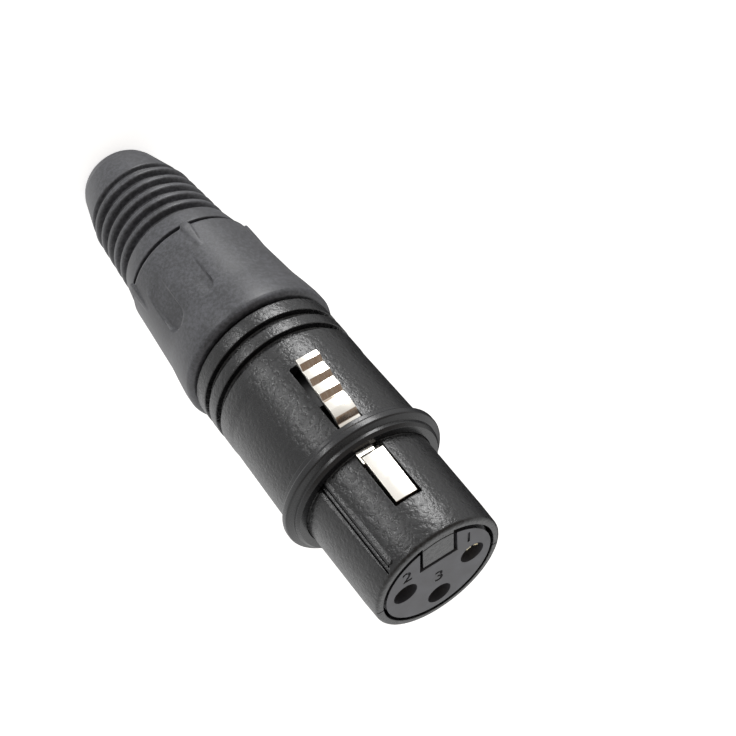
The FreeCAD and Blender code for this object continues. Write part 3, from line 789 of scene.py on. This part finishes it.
def add_shelf(lever):
    """The L-shaped shelf that shows behind the locking plate."""
    outline = rounded([
        (-0.45, 58.42, 0),
        (1.56, 58.42, 0.05),
        (1.56, 60.0, 0.05),
        (1.38, 60.0, 0.05),
        (1.38, 59.08, 0),
        (-0.45, 59.08, 0.05),
    ])
    shelf = prism("shelf", outline, lambda x, y, level: (x, -6.9 - 1.3 * level, y))
    combine(lever, shelf, "UNION")


def soften_rims(lever, width):
    """Bevels the stamped strip's long edges."""
    shape = bmesh.new()
    shape.from_mesh(lever.data)
    rims = [
        edge for edge in shape.edges
        if all(abs(abs(v.co.x) - LEVER_HALF_WIDTH * MM) < 1e-6 for v in edge.verts)
        and len(edge.link_faces) == 2
        and any(len(face.verts) > 12 for face in edge.link_faces)]
    bmesh.ops.bevel(
        shape, geom=rims, offset=width * MM, segments=2, affect="EDGES", profile=0.5)
    shape.to_mesh(lever.data)
    shape.free()


class PLUG_OT_lever(bpy.types.Operator):
    """Make the stamped latch lever and finish its hinge pin"""

    bl_idname = "plug.lever"
    bl_label = "Latch lever"

    def execute(self, context):
        lever = prism("push_lever", lever_side(), lambda out, up, level: (
            LEVER_HALF_WIDTH - 2 * LEVER_HALF_WIDTH * level, -out, up))
        add_shelf(lever)
        soften_rims(lever, 0.07)
        lever.data.materials.append(nickel_plated_steel())
        set_creases(lever, 30)
        finish_piece(lever, "latch", "latch_metal", "latch_lever")
        carry("latch_pin", rolled_spring_steel())
        return {"FINISHED"}


class PLUG_OT_springs(bpy.types.Operator):
    """Make the latch spring and finish the ground spring"""

    bl_idname = "plug.springs"
    bl_label = "Springs"

    def execute(self, context):
        steel = rolled_spring_steel()
        spring = copy_of("latch_spring", "lever_spring", steel)
        finish_piece(spring, "housing", "spring_steel", "latch_spring")
        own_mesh(spring)
        carry("ground_spring", steel)
        return {"FINISHED"}


class PLUG_OT_clamp(bpy.types.Operator):
    """Finish the cable clamp and its bushing"""

    bl_idname = "plug.clamp"
    bl_label = "Clamp"

    def execute(self, context):
        tones = colours()
        carry("chuck", moulded_plastic("moulded_acetal", tones.clamp, tones.clamp_flow))
        carry("bushing", moulded_plastic(
            "moulded_black_polyamide", tones.bushing, tones.bushing_flow))
        return {"FINISHED"}


# Boot

GRIP_LINE = [
    (19.3, 8.32), (20.0, 8.36), (24.0, 8.64), (27.5, 8.9), (30.2, 9.11), (31.9, 9.36),
    (33.4, 9.56), (34.6, 9.68), (36.2, 9.72)]
LIP_ROUNDING = 0.8

# Each recess's angle, and whether its floor fades towards one side
RECESSES = [(field + side * 15.5, side < 0) for field in (36, -108, 180) for side in (-1, 1)]
RECESS_FRONT = 30.9
RECESS_REAR = 22.3
RECESS_HALF_WIDTH = 1.6
RECESS_FLOOR = 8.5

FINS = [72 * index for index in range(5)]
FIN_REAR = 19.4
FIN_LENGTH = 4.7
FIN_HEIGHT = 0.3
FIN_HALF_WIDTH = 0.75


def smooth(value):
    """An even step from 0 to 1 with soft ends."""
    value = min(1.0, max(0.0, value))
    return value * value * (3 - 2 * value)


def curve_through(knots, at):
    """A smooth line through knots (place, value), without overshoot."""
    for (z0, r0), (z1, r1) in zip(knots, knots[1:]):
        if at <= z1:
            break
    index = knots.index((z1, r1))
    slope = (r1 - r0) / (z1 - z0)

    def tangent(at_index):
        if at_index in (0, len(knots) - 1):
            return slope
        (za, ra), (zb, rb), (zc, rc) = knots[at_index - 1:at_index + 2]
        left, right = (rb - ra) / (zb - za), (rc - rb) / (zc - zb)
        return 0 if left * right <= 0 else 2 * left * right / (left + right)

    start, end, span = tangent(index - 1), tangent(index), z1 - z0
    t = (at - z0) / span
    return ((2 * t ** 3 - 3 * t ** 2 + 1) * r0 + (t ** 3 - 2 * t ** 2 + t) * span * start
            + (3 * t ** 2 - 2 * t ** 3) * r1 + (t ** 3 - t ** 2) * span * end)


def gap_between(angle, other):
    return (angle - other + 180) % 360 - 180


def grip_radius(angle, height):
    """The grip's outside: flared line, raised fins at the seam and round-ended recesses."""
    radius = curve_through(GRIP_LINE, height)
    depth, edge = sizes().recess_depth / MM, sizes().recess_edge / MM
    for place, fades in RECESSES:
        turn = math.radians(gap_between(angle, place))
        across = turn * radius
        if abs(across) > 2.4:
            continue
        along = height - (RECESS_FRONT - RECESS_HALF_WIDTH)
        from_middle = math.hypot(across, along) if along > 0 else abs(across)
        flat = radius - RECESS_FLOOR / max(math.cos(turn), 0.5)
        cut = min(depth, max(0.0, flat))
        if fades:
            cut *= smooth((1.5 - across) / 2.6)
        radius -= (cut * smooth((RECESS_HALF_WIDTH - from_middle) / edge)
                   * smooth((height - RECESS_REAR) / 2.2))
    for place in FINS:
        across = abs(math.radians(gap_between(angle, place)) * radius)
        if across > 2:
            continue
        share = min(1, max(0, (height - FIN_REAR) / FIN_LENGTH))
        half = FIN_HALF_WIDTH - 0.5 * share
        top = max(0.0, FIN_HEIGHT - FIN_HEIGHT * share ** 1.5)
        radius += top * smooth((half + 0.18 - across) / 0.36)
    return radius


def grip_heights():
    """Heights of the grip's outside, closer along the fins and recesses than at the lip."""
    heights = [0.12]
    while heights[-1] + 0.12 < 15.3:
        heights.append(heights[-1] + (0.2 if heights[-1] < 12 else 0.35))
    return [SEAM + 0.25 + height for height in heights]


def grip_section(angle, heights):
    """The grip's section at an angle, from its bore round the seam, the outside and the lip."""
    rear = SEAM
    for place in FINS:
        across = abs(math.radians(gap_between(angle, place)) * 8.4)
        rear = min(rear, SEAM - 0.6 * smooth((0.62 - across) / 0.3))
    inside = 8.1 if rear < SEAM - 0.01 else 8.05
    start = grip_radius(angle, rear + 0.3)
    section = [
        (7.5, SEAM),
        (inside, SEAM),
        (max(8.12, start - 0.32), rear),
        (start - 0.2, rear + 0.02),
        (start - 0.09, rear + 0.08),
        (start - 0.02, rear + 0.2),
    ]
    section += [(grip_radius(angle, z), z) for z in heights]
    lip = section[-1][0] - LIP_ROUNDING
    for turn in range(1, 9):
        bend = math.radians(90 * turn / 8)
        section.append((
            lip + LIP_ROUNDING * math.cos(bend),
            BOOT_TOP - LIP_ROUNDING + LIP_ROUNDING * math.sin(bend)))
    return section + [(8.7, BOOT_TOP), (8.7, 34.4), (7.5, 34.4)]


class PLUG_OT_boot_grip(bpy.types.Operator):
    """Make the flared rubber grip with its fins and finger recesses"""

    bl_idname = "plug.boot_grip"
    bl_label = "Boot grip"

    def execute(self, context):
        sides = 480
        heights = grip_heights()
        rings = []
        for side in range(sides):
            angle = 360 * side / sides
            rings.append([around(angle, r, z) for r, z in grip_section(angle, heights)])
        grip = joined_rings("rubber_grip", rings, moulded_soft_rubber(), 50)
        finish_piece(grip, "boot", "boot_rubber", "boot_grip")
        return {"FINISHED"}


GROOVE_COUNT = 6
FIRST_GROOVE = 6.55
GROOVE_PITCH = 1.91
GROOVE_HALF_MOUTH = 0.6
GROOVE_HALF_FLOOR = 0.375
GROOVE_CUT = 0.85


def sleeve_section():
    """The ribbed sleeve's section, from the cable hole round the ribs to the seam."""
    round_rib = sizes().rib_rounding / MM
    corners = [
        (3.2, 0.0, 0.15),
        (4.5, 0.0, 0.3),
        (4.97, 0.63, 0.8),
        (5.32, 1.4, 1.0),
        (6.55, 5.95, round_rib),
    ]
    slope = (7.5 - 6.88) / (16.1 - 7.15)

    def top(z):
        return 6.88 + slope * (z - 7.15)

    for groove in range(GROOVE_COUNT):
        middle = FIRST_GROOVE + GROOVE_PITCH * groove
        floor = 6.88 - GROOVE_CUT + 0.124 * groove
        rear, front = middle - GROOVE_HALF_MOUTH, middle + GROOVE_HALF_MOUTH
        if groove:
            corners.append((top(rear), rear, round_rib))
        corners += [
            (floor, middle - GROOVE_HALF_FLOOR, 0.16),
            (floor, middle + GROOVE_HALF_FLOOR, 0.16),
            (top(front) if groove < GROOVE_COUNT - 1 else 7.56, front, round_rib),
        ]
    corners += [
        (8.05, 19.35, 0.16),
        (7.4, 19.35, 0),
        (7.4, 22.5, 0.1),
        (4.9, 22.5, 0.1),
        (3.2, 13.0, 0.5),
    ]
    return rounded(corners, 5)


class PLUG_OT_boot_sleeve(bpy.types.Operator):
    """Make the ribbed strain relief with the cable entry"""

    bl_idname = "plug.boot_sleeve"
    bl_label = "Boot sleeve"

    def execute(self, context):
        material = bpy.data.materials.get("moulded_soft_rubber") or moulded_soft_rubber()
        sleeve = turned("ribbed_sleeve", sleeve_section(), 224, material, 50)
        finish_piece(sleeve, "boot", "boot_rubber", "boot_sleeve")
        return {"FINISHED"}


# Stage, with places and sizes in millimetres

EYE = Vector((42.1208, -129.6345, 130.9126))
AIM = Vector((-9.493, 1.3449, 43.632))
IMAGE_UP = Vector((-0.46533, -0.61047, -0.64093))
LENS = 69.9365
SENSOR = 36

FLOOR_RADIUS = 1500
FLOOR_THICKNESS = 2
FLOOR_GLOW = 0.7
TENT_STRENGTH = 1.25

LAMP_AIM = Vector((0, 0, 45))
LAMP_DISTANCE = 400

# Each lamp's name, azimuth from the latch, elevation, width, height and power. They stand below
# the floor's level, where the surfaces that the camera sees reflect to.
LAMPS = (
    ("softbox_left", -31, -26, 104, 240, 0.95),
    ("strip_right", 31, -24, 40, 190, 0.28),
)


def grey(shade):
    return (shade,) * 3


WHITE = grey(1)
WARM = (0.27, 0.245, 0.22)

# The light tent's shades by their share of a turn that starts opposite the latch
TENT_LOW = [
    (0.0, grey(0.6)), (0.04, grey(0.12)), (0.1, grey(0.03)), (0.2, grey(0.1)), (0.26, grey(0.6)),
    (0.32, grey(0.85)), (0.7, grey(0.6)), (0.78, grey(0.85)), (0.9, WHITE), (1.0, grey(0.6))]
TENT_HIGH = [
    (0.0, WHITE), (0.2, grey(0.8)), (0.32, WARM), (0.7, WARM), (0.82, grey(0.8)), (1.0, WHITE)]


def looking(place, target, up):
    """The matrix of a camera or lamp at a place in millimetres that faces a target."""
    back = (place - target).normalized()
    right = up.cross(back).normalized()
    turn = Matrix((right, back.cross(right), back)).transposed()
    return Matrix.Translation(place * MM) @ turn.to_4x4()


def make_floor():
    """Matt pale floor board. It reads as white where it is seen and keeps the plug's shadow."""
    outline = [
        (FLOOR_RADIUS * math.cos(math.radians(a)), FLOOR_RADIUS * math.sin(math.radians(a)))
        for a in range(0, 360, 5)]
    floor = prism("floor", outline, lambda x, y, level: (x, y, -FLOOR_THICKNESS * level))
    material, tree, _ = new_material("matt_painted_board")
    rays = add(tree, "ShaderNodeLightPath").outputs
    seen = calculate(tree, "MAXIMUM", rays["Is Camera Ray"], rays["Is Glossy Ray"])
    seen = calculate(tree, "MAXIMUM", seen, rays["Is Transmission Ray"])
    board = add(tree, "ShaderNodeBsdfDiffuse", {"Color": (*colours().floor, 1), "Roughness": 1.0})
    glow = add(tree, "ShaderNodeEmission", {
        "Color": (*WHITE, 1), "Strength": calculate(tree, "MULTIPLY", seen, FLOOR_GLOW)})
    close(tree, add(tree, "ShaderNodeAddShader", {0: board.outputs[0], 1: glow.outputs[0]}))
    floor.data.materials.append(material)
    # The lamps below the floor's level light the plug through it
    floor.visible_glossy = False
    floor.visible_shadow = False


def make_world():
    """A soft light tent. Below the horizon it is pale with one dim side, above it is white behind
    the plug and warm and dim in front. The camera sees plain white past the plug."""
    world = bpy.data.worlds.new("light_tent")
    bpy.context.scene.world = world
    world.use_nodes = True
    tree = world.node_tree
    tree.nodes.clear()
    place = add(tree, "ShaderNodeTexCoord").outputs["Generated"]
    parts = add(tree, "ShaderNodeSeparateXYZ", {0: place}).outputs
    turn = calculate(tree, "ARCTAN2", parts["X"], calculate(tree, "MULTIPLY", parts["Y"], -1.0))
    share = spread(tree, turn, -math.pi, math.pi, 0, 1)
    low = add(tree, "ShaderNodeValToRGB", {"Fac": share}, TENT_LOW)
    high = add(tree, "ShaderNodeValToRGB", {"Fac": share}, TENT_HIGH)
    for ramp in (low, high):
        ramp.color_ramp.interpolation = "EASE"
    rise = spread(tree, parts["Z"], -0.02, 0.3, 0, 1)
    tent = add(tree, "ShaderNodeMix", {
        "Factor": rise, 6: low.outputs["Color"], 7: high.outputs["Color"]}, data_type="RGBA")
    soft = add(tree, "ShaderNodeBackground", {"Color": tent.outputs[2], "Strength": TENT_STRENGTH})
    white = add(tree, "ShaderNodeBackground", {"Color": (*WHITE, 1), "Strength": 1.0})
    rays = add(tree, "ShaderNodeLightPath").outputs
    mixed = add(tree, "ShaderNodeMixShader", {
        0: rays["Is Camera Ray"], 1: soft.outputs[0], 2: white.outputs[0]})
    add(tree, "ShaderNodeOutputWorld", {"Surface": mixed.outputs[0]})


def make_lamp(name, azimuth, elevation, width, height, power):
    """An area lamp that faces the plug's middle, out of the camera's sight."""
    tilt = math.radians(elevation)
    spot = LAMP_AIM + around(
        azimuth, math.cos(tilt) * LAMP_DISTANCE, math.sin(tilt) * LAMP_DISTANCE)
    data = bpy.data.lights.new(name, "AREA")
    data.shape = "RECTANGLE"
    data.size, data.size_y = width * MM, height * MM
    data.energy = power
    lamp = bpy.data.objects.new(name, data)
    lamp.matrix_world = looking(spot, LAMP_AIM, Vector((0, 0, 1)))
    bpy.context.scene.collection.objects.link(lamp)
    lamp.visible_camera = False


def make_camera():
    """The camera at the photograph's place, with its lens."""
    data = bpy.data.cameras.new("camera")
    data.sensor_width = SENSOR
    data.lens = LENS
    data.clip_start = 0.005
    camera = bpy.data.objects.new("camera", data)
    camera.matrix_world = looking(EYE, AIM, IMAGE_UP)
    bpy.context.scene.collection.objects.link(camera)
    bpy.context.scene.camera = camera


class PLUG_OT_stage(bpy.types.Operator):
    """Set up the floor, the soft light and the camera"""

    bl_idname = "plug.stage"
    bl_label = "Stage"

    def execute(self, context):
        make_floor()
        make_world()
        for lamp in LAMPS:
            make_lamp(*lamp)
        make_camera()
        context.scene.view_settings.view_transform = "Standard"
        return {"FINISHED"}


OPERATORS = (
    PLUG_OT_shell,
    PLUG_OT_seal_ring,
    PLUG_OT_insert,
    PLUG_OT_contacts,
    PLUG_OT_lever,
    PLUG_OT_springs,
    PLUG_OT_clamp,
    PLUG_OT_boot_grip,
    PLUG_OT_boot_sleeve,
    PLUG_OT_stage,
)


class PLUG_PT_panel(bpy.types.Panel):
    """Lists the plug's pieces, sizes and colours"""

    bl_idname = "PLUG_PT_panel"
    bl_label = "Cable plug"
    bl_space_type = "VIEW_3D"
    bl_region_type = "UI"
    bl_category = "Plug"

    def draw(self, context):
        for operator in OPERATORS:
            self.layout.operator(operator.bl_idname)
        for group in (context.scene.plug_sizes, context.scene.plug_colours):
            for name in group.__annotations__:
                self.layout.prop(group, name)


CLASSES = (PlugSizes, PlugColours, *OPERATORS, PLUG_PT_panel)


def register():
    for kind in CLASSES:
        bpy.utils.register_class(kind)
    bpy.types.Scene.plug_sizes = bpy.props.PointerProperty(type=PlugSizes)
    bpy.types.Scene.plug_colours = bpy.props.PointerProperty(type=PlugColours)


def unregister():
    del bpy.types.Scene.plug_sizes
    del bpy.types.Scene.plug_colours
    for kind in reversed(CLASSES):
        bpy.utils.unregister_class(kind)


def main():
    register()
    bpy.ops.plug.shell()
    bpy.ops.plug.seal_ring()
    bpy.ops.plug.insert()
    bpy.ops.plug.contacts()
    bpy.ops.plug.lever()
    bpy.ops.plug.springs()
    bpy.ops.plug.clamp()
    bpy.ops.plug.boot_grip()
    bpy.ops.plug.boot_sleeve()
    bpy.ops.plug.stage()


if __name__ == "__main__":
    main()
